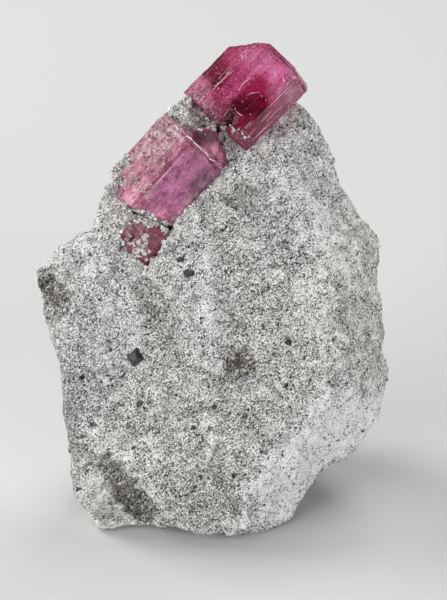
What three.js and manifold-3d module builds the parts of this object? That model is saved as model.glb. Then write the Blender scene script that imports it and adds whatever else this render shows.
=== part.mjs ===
// Red beryl crystals on a loose piece of rhyolite that stands on its flat underside.
// Millimetres, +Z up, with the broad front towards -Y and the origin at the middle of the underside.
// Each shape is drawn square to the broad front: across to the right, up the front, and out of it
// towards the viewer. faceLean then leans the whole specimen back.

import * as THREE from 'three';
import { mergeVertices } from 'three/addons/utils/BufferGeometryUtils.js';
import Module from 'manifold-3d';

const wasm = await Module();
wasm.setup();

// Whole specimen
const faceLean = 25; // degrees that the broad front leans back from upright
const restingLevel = -18.9; // height of the flat underside, before the origin is moved to it
const socketGap = 0.3; // clearance all round a crystal in the rock

// Rock outline as its widest line, anticlockwise from the lower right: across, up, out
const rockRim = [
  [11.3, -13.75, -6.5], [12.7, -11.7, -6.4], [13.8, -10.6, -6.2], [14.1, -8.55, -6],
  [14.45, -6, -5.8], [14.15, -4.55, -5.6], [14.35, -3.05, -5.5], [13.55, 1.4, -5.2],
  [13.85, 4.15, -5], [13.45, 5.85, -4.8], [11.7, 7.5, -4.8], [11.25, 8.8, -4.7],
  [10.2, 10.3, -4.6], [9.45, 13.3, -4.4], [8, 15.2, -4.1], [7, 17.3, -3.6],
  [5.8, 17.4, -6], [3.4, 17.1, -7.4], [0.4, 17, -7.4], [-1.7, 17.1, -5],
  [-3.2, 17.6, -2.4], [-4.35, 16.8, -1.8], [-5.75, 15.55, -3.4], [-7.35, 13.7, -4],
  [-8.9, 11.9, -3.6], [-9.6, 11.15, -2.4], [-10.65, 8.7, -2.6], [-11.15, 7.3, -3.2],
  [-11.5, 5.95, -3.8], [-12.85, 5.65, -4.4], [-14.7, 4.7, -4.2], [-15.35, 3.6, -3.8],
  [-16.2, 2.65, -3.2], [-16.2, 1.4, -3], [-15.45, -0.55, -3.4], [-15.6, -1.1, -3.2],
  [-15.2, -3, -3], [-14.2, -5.15, -3], [-13.85, -8.3, -3], [-13.95, -10.5, -3],
  [-13.35, -12.75, -3], [-13.3, -15.75, -3], [-12.8, -17.6, -2.8], [-11.65, -18.95, -2],
  [-10.75, -19.7, -1.5], [-7.85, -19.35, -1.5], [-4.5, -19.5, -0.2], [-1.7, -20, 0],
  [2.6, -20.05, -0.8], [5.1, -19.6, -2.2], [6.05, -18.9, -3], [6.3, -17.95, -3.7],
  [7.85, -16.2, -5], [9.15, -14.45, -6], [10.25, -14.3, -6.3],
];
const hub = { across: 0.5, up: -2.5 }; // the rings of the rock's surface gather here
const rings = 21; // square rings from the hub to the rim, so the rim has 8 points for each
const rimRoundness = 3.4; // 2 rolls over evenly, more keeps the faces flat up to the rim
const facetBlend = 0.5; // width over which two facets round into each other

// Each side of the rock has broken facets, low swells and hollows, and round bites.
// A facet falls away from a line through across, up, towards heading degrees.
// A swell has a half width and a half height, is turned, and stands out, or in where out is negative.
const rockFront = {
  facets: [
    { across: 0, up: 0, heading: 90, slope: 0.03, level: 0.3 }, // broad front
    { across: 0, up: 9, heading: 80, slope: 0.13, level: 0 }, // upper front
    { across: 9, up: 0, heading: 5, slope: 0.75, level: 0.4 }, // right flank
    { across: 7.2, up: 9, heading: 30, slope: 0.95, level: 0 }, // upper right flank
    { across: 5.6, up: -13.2, heading: -34, slope: 1.15, level: 0.6 }, // smooth lower right break
    { across: -12, up: 1.5, heading: 150, slope: 0.8, level: 0.2 }, // left shoulder
    { across: -13.4, up: -6, heading: 182, slope: 1.3, level: 0 }, // left edge
    { across: 0, up: -18.8, heading: 268, slope: 0.6, level: 0.9 }, // toe, which overhangs
  ],
  swells: [
    { across: -14.6, up: 0.3, wide: 2.2, high: 1.9, turn: -35, out: -1.5 }, // dark left corner
    { across: -13.2, up: 2.6, wide: 1.8, high: 1.2, turn: -30, out: 0.6 }, // lip over it
    { across: -9.4, up: -4.2, wide: 2.6, high: 5.2, turn: 18, out: -0.8 }, // pale valley
    { across: -5.7, up: -0.8, wide: 1.4, high: 3.2, turn: 25, out: -0.8 }, // brown hollow
    { across: -1.4, up: -0.6, wide: 1.4, high: 4.4, turn: -12, out: 0.6 }, // pale rib
    { across: 1.4, up: -5.3, wide: 1.5, high: 1.4, turn: 0, out: -0.9 }, // brown pit
    { across: -2.5, up: -12.2, wide: 7.5, high: 3.2, turn: 8, out: 0.9 }, // belly
    { across: 8.6, up: 0.8, wide: 3.6, high: 5, turn: 0, out: 0.6 }, // right swell
    { across: 2.7, up: 8.9, wide: 1.8, high: 1.5, turn: 0, out: -0.5 }, // grey hollow
    { across: -7.6, up: 4.6, wide: 2.4, high: 1.8, turn: 30, out: -0.7 }, // seat of the lower crystal
    { across: -10.2, up: -17.7, wide: 1.7, high: 1.4, turn: 0, out: 1.3 }, // knob at the lower left
  ],
  bites: [
    { across: -11.35, up: -19.1, radius: 6.3, lip: 2.6, out: -1.9 }, // scoop round the knob
  ],
};
const rockBack = {
  facets: [
    { across: 0, up: 0, heading: 90, slope: 0.36, level: 13.6 }, // broad back
    { across: -6.5, up: -4, heading: 165, slope: 0.8, level: 14.2 }, // left back
    { across: 8.5, up: -6, heading: -12, slope: 1.2, level: 15 }, // right back
    { across: 3, up: 10, heading: 70, slope: 0.6, level: 11 }, // behind the peak
  ],
  swells: [
    { across: 4.5, up: 6, wide: 5, high: 2.2, turn: 24, out: 1.1 }, // slanting ridge
    { across: -6, up: -5, wide: 2.6, high: 5, turn: -20, out: 1.2 }, // left ridge
    { across: 3, up: -2, wide: 3.4, high: 2.4, turn: 35, out: -1.4 }, // hollow under the ridge
    { across: -2.5, up: 9.5, wide: 2.4, high: 2, turn: 0, out: -0.9 }, // hollow near the top
    { across: 8.5, up: -9, wide: 2.4, high: 3, turn: 15, out: -1.1 }, // hollow at the lower corner
  ],
  bites: [
    { across: 10.5, up: 6.5, radius: 5, lip: 1.8, out: -1.3 },
    { across: -11.5, up: -10, radius: 5.5, lip: 2, out: -1.4 },
  ],
};

// Roughness of the broken rock
const roughSize = [3.6, 1.7]; // distance between bumps, coarse and fine
const roughHeight = [0.32, 0.15];
const noiseSeed = 1907;
const noisePrimes = [374761393, 668265263, 1274126177, 1103515245];
const noiseShift = { axis: 17, layer: 5 }; // keeps the patterns of each axis and layer apart
const noiseRange = 0xffffffff; // largest mixed value

// Crystals: hexagonal prisms. Their own directions are out of the front, to the side of the long
// axis, and along it. face is the direction, from out towards side, that the nearest prism face
// looks in. reach gives the six faces' distances from the axis, from that face on.
const upperCrystal = {
  centre: [2.14, 17.8, -3],
  axis: 45, // degrees that the long axis rises to the right
  face: -6,
  reach: [3.48, 4.03, 2.42, 2.6, 4.2, 3.42],
  from: -3.75,
  to: 4.1,
  truncations: [
    { direction: [0, -0.62, 0.79], distance: 4.15 }, // bevelled upper corner
    { direction: [0.29, 0.4, 0.87], distance: 5.15 }, // pyramid face at the lower right end
  ],
  notches: [
    { centre: [3.9, 0.6, -2.7], size: [1.9, 0.9, 1], turn: [12, 8, 0] }, // dark socket near the lower end
    { centre: [4, 2.9, -4], size: [4, 3.6, 1.4], turn: [4, -10, 0] }, // broken lower end
    { centre: [3.55, -2.2, -1], size: [0.4, 0.55, 7], turn: [0, 0, -8] }, // growth step by the left edge
    { centre: [3.1, -3.3, -3.9], size: [2, 2.2, 1], turn: [-18, 14, 0] }, // chipped lower left corner
  ],
};
const middleCrystal = {
  centre: [-4.85, 11.05, -2.5],
  axis: 48,
  face: 30,
  reach: [3.55, 3.5, 3.2, 3.1, 3.5, 3.55],
  from: -4.5,
  to: 3.57,
  truncations: [
    { direction: [0, 0.3, -0.95], distance: 4.2 }, // lower end, right of the front edge
    { direction: [0, -0.5, -0.87], distance: 4.6 }, // lower end, left of it
  ],
  notches: [
    { centre: [3.1, -2.6, -4.3], size: [1.4, 2, 1.8], turn: [35, 20, 15] }, // chipped lower left
    { centre: [3.35, -1.9, 2.9], size: [0.7, 1.6, 1.1], turn: [10, 0, -28] }, // etched beside the crack
  ],
};
// The block beyond the healed crack across the middle crystal
const crackBlock = {
  ...middleCrystal,
  from: 3.3,
  to: 5.45,
  truncations: [
    { direction: [0, 0.44, 0.9], distance: 5.16 },
    { direction: [0, -0.8, 0.6], distance: 2.79 },
    { direction: [0.87, 0.5, 0], distance: 3.4 },
  ],
  notches: [],
};
const crack = { centre: [0, 0, 3.25], size: [9, 9, 0.22], turn: [0, 0, 0] }; // groove of the crack
const crackDepth = 0.25;
const crackCore = { ...middleCrystal, to: 4.3 }; // what the groove leaves whole, before crackDepth
const lowerCrystal = {
  centre: [-6.6, 5.6, -1.8],
  axis: 47,
  face: 30,
  reach: [2, 2, 1.8, 1.8, 1.9, 1.95],
  from: -2.1,
  to: 2.05,
  truncations: [
    { direction: [0, 0.75, 0.66], distance: 2.35 },
    { direction: [0, -0.4, -0.92], distance: 2.05 },
  ],
  notches: [
    { centre: [2.2, -1.3, -1.2], size: [1.2, 1.6, 1.8], turn: [40, 25, 0] }, // broken left side
  ],
};

const rockMaterial = new THREE.MeshStandardMaterial({ color: 0xaeaca9, roughness: 0.95, metalness: 0 });
const upperMaterial = new THREE.MeshStandardMaterial({ color: 0xa3285c, roughness: 0.12, metalness: 0 });
const middleMaterial = new THREE.MeshStandardMaterial({ color: 0xb0688c, roughness: 0.4, metalness: 0 });
const lowerMaterial = new THREE.MeshStandardMaterial({ color: 0x9a4a6c, roughness: 0.4, metalness: 0 });

const cutterSize = 80; // side of the block that cuts along a plane
const mergeDistance = 1e-5;
const radians = THREE.MathUtils.degToRad;
const { lerp, smoothstep } = THREE.MathUtils;

// Closed geometry to solid, and back
function asSolid(geometry) {
  const bare = geometry.index ? geometry.toNonIndexed() : geometry.clone();
  bare.deleteAttribute('normal');
  bare.deleteAttribute('uv');
  const merged = mergeVertices(bare, mergeDistance);
  return new wasm.Manifold(new wasm.Mesh({
    numProp: 3,
    vertProperties: new Float32Array(merged.attributes.position.array),
    triVerts: new Uint32Array(merged.index.array),
  }));
}

function asMesh(name, solid, material) {
  const { vertProperties, triVerts } = solid.getMesh();
  const geometry = new THREE.BufferGeometry();
  geometry.setAttribute('position', new THREE.BufferAttribute(vertProperties, 3));
  geometry.setIndex(new THREE.BufferAttribute(triVerts, 1));
  geometry.computeVertexNormals();
  const mesh = new THREE.Mesh(geometry, material);
  mesh.name = name;
  return mesh;
}

// Everything beyond a plane, as a block whose face lies on it
function beyondPlane(direction, distance) {
  const outward = new THREE.Vector3(...direction).normalize();
  const block = new THREE.BoxGeometry(cutterSize, cutterSize, cutterSize);
  block.translate(0, 0, cutterSize / 2 + distance);
  block.applyQuaternion(new THREE.Quaternion().setFromUnitVectors(new THREE.Vector3(0, 0, 1), outward));
  return asSolid(block);
}

// Smooth random values between -1 and 1 that differ from place to place
function cornerValue(i, j, k) {
  let mixed = noiseSeed;
  mixed += Math.imul(i, noisePrimes[0]);
  mixed += Math.imul(j, noisePrimes[1]);
  mixed += Math.imul(k, noisePrimes[2]);
  mixed = Math.imul(mixed ^ (mixed >>> 13), noisePrimes[3]);
  return (((mixed ^ (mixed >>> 16)) >>> 0) / noiseRange) * 2 - 1;
}

function smoothNoise(...place) {
  const [i, j, k] = place.map(Math.floor);
  const [fx, fy, fz] = place.map((value) => smoothstep(value - Math.floor(value), 0, 1));
  const edge = (dj, dk) => lerp(cornerValue(i, j + dj, k + dk), cornerValue(i + 1, j + dj, k + dk), fx);
  return lerp(lerp(edge(0, 0), edge(1, 0), fy), lerp(edge(0, 1), edge(1, 1), fy), fz);
}

function roughened(point) {
  const moved = [...point];
  roughSize.forEach((size, layer) => {
    const [x, y, z] = point.map((value) => value / size);
    for (let axis = 0; axis < 3; axis += 1) {
      const shift = (axis + 1) * noiseShift.axis + layer * noiseShift.layer;
      moved[axis] += roughHeight[layer] * smoothNoise(x + shift, y - shift, z + shift);
    }
  });
  return moved;
}

// Rock surface
function smoothMin(a, b) {
  const overlap = Math.max(facetBlend - Math.abs(a - b), 0) / facetBlend;
  return Math.min(a, b) - (overlap * overlap * facetBlend) / 4;
}

function facetHeight(facet, across, up) {
  const heading = radians(facet.heading);
  const past = (across - facet.across) * Math.cos(heading) + (up - facet.up) * Math.sin(heading);
  return facet.level - facet.slope * past;
}

function swellHeight(swell, across, up) {
  const turn = radians(swell.turn);
  const dx = across - swell.across;
  const dy = up - swell.up;
  const right = (dx * Math.cos(turn) + dy * Math.sin(turn)) / swell.wide;
  const high = (dy * Math.cos(turn) - dx * Math.sin(turn)) / swell.high;
  return swell.out * Math.exp(-(right * right + high * high));
}

function biteHeight(bite, across, up) {
  const inward = bite.radius - Math.hypot(across - bite.across, up - bite.up);
  return bite.out * smoothstep(inward, 0, bite.lip);
}

// How far a side of the rock stands out at a place
function sideHeight(side, across, up) {
  let height = side.facets.map((facet) => facetHeight(facet, across, up)).reduce(smoothMin);
  for (const swell of side.swells) height += swellHeight(swell, across, up);
  for (const bite of side.bites) height += biteHeight(bite, across, up);
  return height;
}

function rimLine() {
  const line = new THREE.CurvePath();
  rockRim.forEach((corner, index) => {
    const next = rockRim[(index + 1) % rockRim.length];
    line.add(new THREE.LineCurve3(new THREE.Vector3(...corner), new THREE.Vector3(...next)));
  });
  return line;
}

// Where a point of the square grid lies: its share of the way out to the rim, and round it
function gridShares(column, row) {
  const ring = Math.max(Math.abs(column), Math.abs(row));
  let steps = row + ring; // up the right side
  if (row === ring) steps = 3 * ring - column; // back along the top
  if (column === -ring) steps = 5 * ring - row; // down the left side
  if (row === -ring && column > -ring) steps = (7 * ring + column) % (8 * ring); // along the bottom
  return { outward: Math.sin((Math.PI / 2) * (ring / rings)), round: ring ? steps / (8 * ring) : 0 };
}

function gridPoint(line, column, row, height) {
  const { outward, round } = gridShares(column, row);
  const rim = line.getPoint(round);
  const across = lerp(hub.across, rim.x, outward);
  const up = lerp(hub.up, rim.y, outward);
  const closing = (1 - outward ** rimRoundness) ** (1 / rimRoundness);
  return roughened([across, up, rim.z + (height(across, up) - rim.z) * closing]);
}

// The rock is two square grids wrapped onto the outline, one for each side, that share the rim
function rockSolid() {
  const line = rimLine();
  const width = 2 * rings + 1;
  const heights = [
    (across, up) => sideHeight(rockFront, across, up),
    (across, up) => -sideHeight(rockBack, across, up),
  ];
  const points = [];
  const triangles = [];
  heights.forEach((height, side) => {
    const at = (column, row) => (side * width + row + rings) * width + column + rings;
    for (let row = -rings; row <= rings; row += 1) {
      for (let column = -rings; column <= rings; column += 1) {
        points.push(...gridPoint(line, column, row, height));
      }
    }
    for (let row = -rings; row < rings; row += 1) {
      for (let column = -rings; column < rings; column += 1) {
        const [a, b] = [at(column, row), at(column + 1, row)];
        const [c, d] = [at(column + 1, row + 1), at(column, row + 1)];
        const outwardSplit = (column < 0) === (row < 0); // from the hub towards the corners
        const pair = outwardSplit ? [[a, b, c], [a, c, d]] : [[a, b, d], [b, c, d]];
        for (const triangle of pair) triangles.push(...(side ? triangle.reverse() : triangle));
      }
    }
  });
  const geometry = new THREE.BufferGeometry();
  geometry.setAttribute('position', new THREE.Float32BufferAttribute(points, 3));
  geometry.setIndex(triangles);
  return asSolid(geometry);
}

// Crystals
function hexagon(crystal, grow) {
  const faces = crystal.reach.map((reach, index) => {
    const heading = radians(crystal.face + 60 * index);
    return { x: Math.cos(heading), y: Math.sin(heading), reach: reach + grow };
  });
  return faces.map((face, index) => {
    const next = faces[(index + 1) % faces.length];
    const cross = face.x * next.y - face.y * next.x;
    return new THREE.Vector2(
      (face.reach * next.y - next.reach * face.y) / cross,
      (next.reach * face.x - face.reach * next.x) / cross,
    );
  });
}

function truncatedPrism(crystal, grow) {
  const prism = new THREE.ExtrudeGeometry(new THREE.Shape(hexagon(crystal, grow)), {
    depth: crystal.to - crystal.from + 2 * grow,
    bevelEnabled: false,
  });
  prism.translate(0, 0, crystal.from - grow);
  return crystal.truncations.reduce(
    (left, { direction, distance }) => left.subtract(beyondPlane(direction, distance + grow)),
    asSolid(prism),
  );
}

function notchSolid(notch) {
  const block = new THREE.BoxGeometry(...notch.size);
  const turn = new THREE.Euler(...notch.turn.map(radians));
  block.applyMatrix4(new THREE.Matrix4().makeRotationFromEuler(turn));
  block.translate(...notch.centre);
  return asSolid(block);
}

function chipped(solid, crystal) {
  return crystal.notches.reduce((left, notch) => left.subtract(notchSolid(notch)), solid);
}

// Only the skin of the middle crystal is parted by the crack
function middleSolid() {
  const whole = truncatedPrism(middleCrystal, 0).add(truncatedPrism(crackBlock, 0));
  const groove = notchSolid(crack).subtract(truncatedPrism(crackCore, -crackDepth));
  return chipped(whole.subtract(groove), middleCrystal);
}

// From a crystal's own directions to those of the broad front
function placed(solid, crystal) {
  const rise = radians(crystal.axis);
  const out = new THREE.Vector3(0, 0, 1);
  const side = new THREE.Vector3(Math.sin(rise), -Math.cos(rise), 0);
  const along = new THREE.Vector3(Math.cos(rise), Math.sin(rise), 0);
  const place = new THREE.Matrix4().makeBasis(out, side, along).setPosition(...crystal.centre);
  return solid.transform(place.toArray());
}

// The rock with its underside cut flat and a socket for each crystal
function matrixSolid(lean) {
  const downwards = [0, -Math.cos(lean), -Math.sin(lean)];
  const standing = rockSolid().subtract(beyondPlane(downwards, -restingLevel));
  return [upperCrystal, middleCrystal, crackBlock, lowerCrystal].reduce(
    (left, crystal) => left.subtract(placed(truncatedPrism(crystal, socketGap), crystal)),
    standing,
  );
}

// The lower crystal ends where the middle one lies on it
function lowerSolid() {
  const whole = placed(chipped(truncatedPrism(lowerCrystal, 0), lowerCrystal), lowerCrystal);
  return whole.subtract(placed(truncatedPrism(middleCrystal, socketGap), middleCrystal));
}

const lean = radians(faceLean);
const upperSolid = chipped(truncatedPrism(upperCrystal, 0), upperCrystal);
const leaning = new THREE.Group();
leaning.rotation.x = Math.PI / 2 - lean;
leaning.add(
  asMesh('rhyolite_matrix', matrixSolid(lean), rockMaterial),
  asMesh('upper_crystal', placed(upperSolid, upperCrystal), upperMaterial),
  asMesh('middle_crystal', placed(middleSolid(), middleCrystal), middleMaterial),
  asMesh('lower_crystal', lowerSolid(), lowerMaterial),
);

// Origin at the middle of the underside
const specimen = new THREE.Group();
specimen.add(leaning);
const box = new THREE.Box3().setFromObject(specimen, true);
const middle = box.getCenter(new THREE.Vector3());
specimen.position.set(-middle.x, -middle.y, -box.min.z);

export default specimen;
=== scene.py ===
import math

import bmesh
import bpy
import numpy as np
from mathutils import Matrix, Vector
from mathutils.bvhtree import BVHTree
from mathutils.kdtree import KDTree


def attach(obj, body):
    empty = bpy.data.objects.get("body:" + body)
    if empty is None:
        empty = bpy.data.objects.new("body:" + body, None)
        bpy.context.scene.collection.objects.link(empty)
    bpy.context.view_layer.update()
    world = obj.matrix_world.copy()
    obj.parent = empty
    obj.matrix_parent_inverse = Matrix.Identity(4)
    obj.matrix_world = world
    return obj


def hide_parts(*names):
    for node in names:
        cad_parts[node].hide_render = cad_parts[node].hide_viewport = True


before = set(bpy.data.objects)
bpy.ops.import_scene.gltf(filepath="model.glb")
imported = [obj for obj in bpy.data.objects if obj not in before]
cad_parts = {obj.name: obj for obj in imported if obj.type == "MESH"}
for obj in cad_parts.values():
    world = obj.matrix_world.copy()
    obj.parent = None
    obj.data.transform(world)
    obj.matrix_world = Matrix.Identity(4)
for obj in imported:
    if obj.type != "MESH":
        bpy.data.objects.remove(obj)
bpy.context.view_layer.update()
print("frame loaded:", sorted(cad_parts))

mm = 0.001

# The specimen's broad front, which leans back, and the photo that looks square at it
front = {
    "lean": math.radians(25),
    "centre": Vector((0.883, -3.072, 18.9)) * mm,
    "cameraDistance": 141.7 * mm,
    "lens": 100,
    "sensor": 36,
    "photoSize": (447, 600),
    "photoPixel": 0.085 * mm,  # one photo pixel, at the front's centre
    "facing": (-0.1, 0.25),  # how far surfaces turn to the camera where paint begins and is full
}
acrossWay = Vector((1, 0, 0))
upWay = Vector((0, math.sin(front["lean"]), math.cos(front["lean"])))
outWay = Vector((0, -math.cos(front["lean"]), math.sin(front["lean"])))
frontPlace = Matrix((acrossWay, upWay, outWay)).transposed().to_4x4()
frontPlace.translation = front["centre"]
cameraPlace = frontPlace @ Matrix.Translation((0, 0, front["cameraDistance"]))


# Helpers for node trees. New nodes go into the tree that was started last
current = {}


# An output of a node, to be added, multiplied and so on like a number
class nodeValue:
    def __init__(self, socket):
        self.socket = socket
        self.isVector = socket.type in ("VECTOR", "RGBA")

    def __add__(self, other):
        return joined("ADD", self, other)

    def __sub__(self, other):
        return joined("SUBTRACT", self, other)

    def __rsub__(self, other):
        return joined("SUBTRACT", other, self)

    def __mul__(self, other):
        return joined("MULTIPLY", self, other)

    def __truediv__(self, other):
        return joined("DIVIDE", self, other)

    def __rtruediv__(self, other):
        return joined("DIVIDE", other, self)


def setInputs(node, inputs):
    for name, value in inputs.items():
        if isinstance(value, nodeValue):
            current["tree"].links.new(value.socket, node.inputs[name])
        else:
            node.inputs[name].default_value = value


def outputsOf(kind, inputs=(), **settings):
    node = current["tree"].nodes.new(kind)
    for name, value in settings.items():
        setattr(node, name, value)
    setInputs(node, dict(inputs))
    return node.outputs


def outputOf(kind, inputs=(), output=0, **settings):
    return nodeValue(outputsOf(kind, inputs, **settings)[output])


# Numbers with numbers, vectors with vectors, or a vector scaled by a number
def joined(operation, first, second, clamp=False):
    vectors = [isinstance(part, tuple) or getattr(part, "isVector", False) for part in (first, second)]
    inputs = {0: first, 1: second}
    if not any(vectors):
        return outputOf("ShaderNodeMath", inputs, operation=operation, use_clamp=clamp)
    if all(vectors):
        return outputOf("ShaderNodeVectorMath", inputs, operation=operation)
    return outputOf("ShaderNodeVectorMath", {0: first, "Scale": second}, operation="SCALE")


def calc(operation, *values):
    return outputOf("ShaderNodeMath", dict(enumerate(values)), operation=operation)


def dotted(first, second):
    return outputOf("ShaderNodeVectorMath", {0: first, 1: second}, "Value", operation="DOT_PRODUCT")


def partsOf(vector):
    return [nodeValue(part) for part in outputsOf("ShaderNodeSeparateXYZ", {0: vector})]


def ranged(value, fromLow, fromHigh, toLow=0.0, toHigh=1.0, smooth=False):
    names = ("From Min", "From Max", "To Min", "To Max")
    inputs = dict(zip(names, (fromLow, fromHigh, toLow, toHigh)), Value=value)
    kind = "SMOOTHSTEP" if smooth else "LINEAR"
    return outputOf("ShaderNodeMapRange", inputs, "Result", interpolation_type=kind)


def blended(share, first, second, mode="MIX"):
    return outputOf("ShaderNodeMix", {0: share, 6: first, 7: second}, 2, data_type="RGBA", blend_type=mode)


def noise(vector, scale, detail=3.0, rough=0.5, output=0):
    inputs = {"Vector": vector, "Scale": scale, "Detail": detail, "Roughness": rough}
    return outputOf("ShaderNodeTexNoise", inputs, output)


def cells(vector, scale):
    outputs = outputsOf("ShaderNodeTexVoronoi", {"Vector": vector, "Scale": scale})
    return {output.name: nodeValue(output) for output in outputs}


def bump(height, distance, strength=1.0):
    inputs = {"Strength": strength, "Distance": distance * mm, "Height": height}
    return outputOf("ShaderNodeBump", inputs)


def moved(geometry, offset):
    return outputOf("GeometryNodeSetPosition", {"Geometry": geometry, "Offset": offset})


# Places moved on, so that each seed meets another part of a texture
def seeded(place, seed):
    return place + outputOf("ShaderNodeCombineXYZ", {0: seed, 1: seed})


def randomValue(low, high, seed):
    isVector = isinstance(low, tuple)
    kind, slots, output = ("FLOAT_VECTOR", (0, 1), 0) if isVector else ("FLOAT", (2, 3), 1)
    inputs = {**dict(zip(slots, (low, high))), "Seed": seed}
    return outputOf("FunctionNodeRandomValue", inputs, output, data_type=kind)


def named(name, kind="FLOAT"):
    return outputOf("GeometryNodeInputNamedAttribute", {"Name": name}, data_type=kind)


def painted(name, output="Fac"):
    return outputOf("ShaderNodeAttribute", output=output, attribute_name=name)


# A geometry tree with named inputs, which useTree sets on the piece that it shapes
def startTree(name, inputs):
    tree = bpy.data.node_groups.new(name, "GeometryNodeTree")
    current["tree"] = tree
    tree.interface.new_socket("Geometry", in_out="INPUT", socket_type="NodeSocketGeometry")
    for label, value in inputs.items():
        kind = "NodeSocketInt" if isinstance(value, int) else "NodeSocketFloat"
        tree.interface.new_socket(label, in_out="INPUT", socket_type=kind)
    tree.interface.new_socket("Geometry", in_out="OUTPUT", socket_type="NodeSocketGeometry")
    outputs = outputsOf("NodeGroupInput")
    return {name: nodeValue(outputs[name]) for name in ("Geometry", *inputs)}


def useTree(piece, geometry, inputs, material):
    tree = current["tree"]
    realised = outputOf("GeometryNodeRealizeInstances", {"Geometry": geometry})
    dressed = outputOf("GeometryNodeSetMaterial", {"Geometry": realised, "Material": material})
    setInputs(tree.nodes.new("NodeGroupOutput"), {0: dressed})
    modifier = piece.modifiers.new(tree.name, "NODES")
    modifier.node_group = tree
    for item in tree.interface.items_tree:
        if item.in_out == "INPUT" and item.name in inputs:
            modifier[item.identifier] = inputs[item.name]
    applyModifiers(piece)


def newMaterial(name):
    material = bpy.data.materials.new(name)
    material.use_nodes = True
    current["tree"] = material.node_tree
    return material, material.node_tree.nodes["Principled BSDF"]


def placeInMillimetres():
    return outputOf("ShaderNodeTexCoord", output="Object") * (1 / mm)


# A colour as a paint program gives it, from 0 to 255
def shown(red, green, blue):
    parts = [value / 255 for value in (red, green, blue)]
    return (*[part / 12.92 if part < 0.04 else ((part + 0.055) / 1.055) ** 2.4 for part in parts], 1)


# Helpers for meshes
def newObject(name, data):
    made = bpy.data.objects.new(name, data)
    bpy.context.scene.collection.objects.link(made)
    return made


def copyOfNode(node, name):
    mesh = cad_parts[node].data.copy()
    mesh.materials.clear()
    piece = newObject(name, mesh)
    shape = bmesh.new()
    shape.from_mesh(mesh)
    bmesh.ops.remove_doubles(shape, verts=shape.verts, dist=1e-6)
    shape.to_mesh(mesh)
    shape.free()
    return piece


def applyModifiers(piece):
    depsgraph = bpy.context.evaluated_depsgraph_get()
    finished = bpy.data.meshes.new_from_object(piece.evaluated_get(depsgraph))
    piece.modifiers.clear()
    piece.data = finished


def remesh(piece, cell):
    skin = piece.modifiers.new("skin", "REMESH")
    skin.mode = "VOXEL"
    skin.voxel_size = cell
    applyModifiers(piece)


def pointsOf(mesh):
    points = np.zeros(len(mesh.vertices) * 3, np.float32)
    mesh.vertices.foreach_get("co", points)
    return points.reshape(-1, 3).astype(float)


def setPoints(mesh, points):
    mesh.vertices.foreach_set("co", points.astype(np.float32).ravel())
    mesh.update()


# Keeps a piece above the plane that the rock stands on
def keepAbovePlane(mesh):
    points = pointsOf(mesh)
    points[:, 2] = np.maximum(points[:, 2], 0)
    setPoints(mesh, points)
    return points


def normalsOf(mesh):
    normals = np.zeros(len(mesh.vertices) * 3, np.float32)
    mesh.vertex_normals.foreach_get("vector", normals)
    return normals.reshape(-1, 3).astype(float)


def smoothPoints(mesh, rounds, share=0.5):
    edges = np.zeros(len(mesh.edges) * 2, np.int64)
    mesh.edges.foreach_get("vertices", edges)
    first, second = edges.reshape(-1, 2).T
    points = pointsOf(mesh)
    count = np.bincount(np.concatenate((first, second)), minlength=len(points))
    for _ in range(rounds):
        for axis in range(3):
            value = points[:, axis]
            total = np.bincount(first, value[second], len(value))
            total += np.bincount(second, value[first], len(value))
            points[:, axis] = value + share * (total / count - value)
    return points


def treeOf(piece):
    mesh = piece.data
    mesh.calc_loop_triangles()
    return BVHTree.FromPolygons(
        [v.co.copy() for v in mesh.vertices],
        [tuple(t.vertices) for t in mesh.loop_triangles],
    )


def smoothStep(values, low, high):
    share = np.clip((values - low) / (high - low), 0, 1)
    return share * share * (3 - 2 * share)


def setAttribute(mesh, name, values):
    kind, part = ("FLOAT_VECTOR", "vector") if values.ndim == 2 else ("FLOAT", "value")
    attribute = mesh.attributes.get(name) or mesh.attributes.new(name, kind, "POINT")
    attribute.data.foreach_set(part, values.astype(np.float32).ravel())


# Where points show in the photo, in its pixels
def photoPlaces(points):
    local = (points - np.array(front["centre"])) @ np.array([acrossWay, upWay, outWay]).T
    spread = front["cameraDistance"] / (front["cameraDistance"] - local[:, 2]) / front["photoPixel"]
    width, height = front["photoSize"]
    return np.stack((width / 2 + local[:, 0] * spread, height / 2 - local[:, 1] * spread), 1)


def facingFront(mesh):
    away = np.array(cameraPlace.translation) - pointsOf(mesh)
    away /= np.linalg.norm(away, axis=1)[:, None]
    return smoothStep((normalsOf(mesh) * away).sum(1), *front["facing"])


# Lets the edges of zones wander by a few pixels
def wandering(places):
    x, y = places.T
    right = np.sin(0.17 * x + 0.29 * y) + np.sin(0.37 * x - 0.23 * y + 1)
    right += 0.7 * np.sin(0.9 * x + 0.6 * y + 2)
    down = np.sin(0.26 * x - 0.19 * y + 3) + np.sin(0.31 * x + 0.4 * y)
    down += 0.7 * np.sin(0.7 * x - 0.8 * y + 5)
    return places + 2.2 * np.stack((right, down), 1)


# A zone in photo pixels, round or with corners, and the amount or colour that it brings
def spot(x, y, across, down, brings, turn=0, edge=1, share=1):
    zone = {"at": (x, y), "reach": (across, down), "turn": turn, "edge": edge}
    return {**zone, "brings": brings, "share": share}


def area(brings, soft, *outline):
    return {"outline": outline, "soft": soft, "brings": brings, "share": 1}


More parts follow.
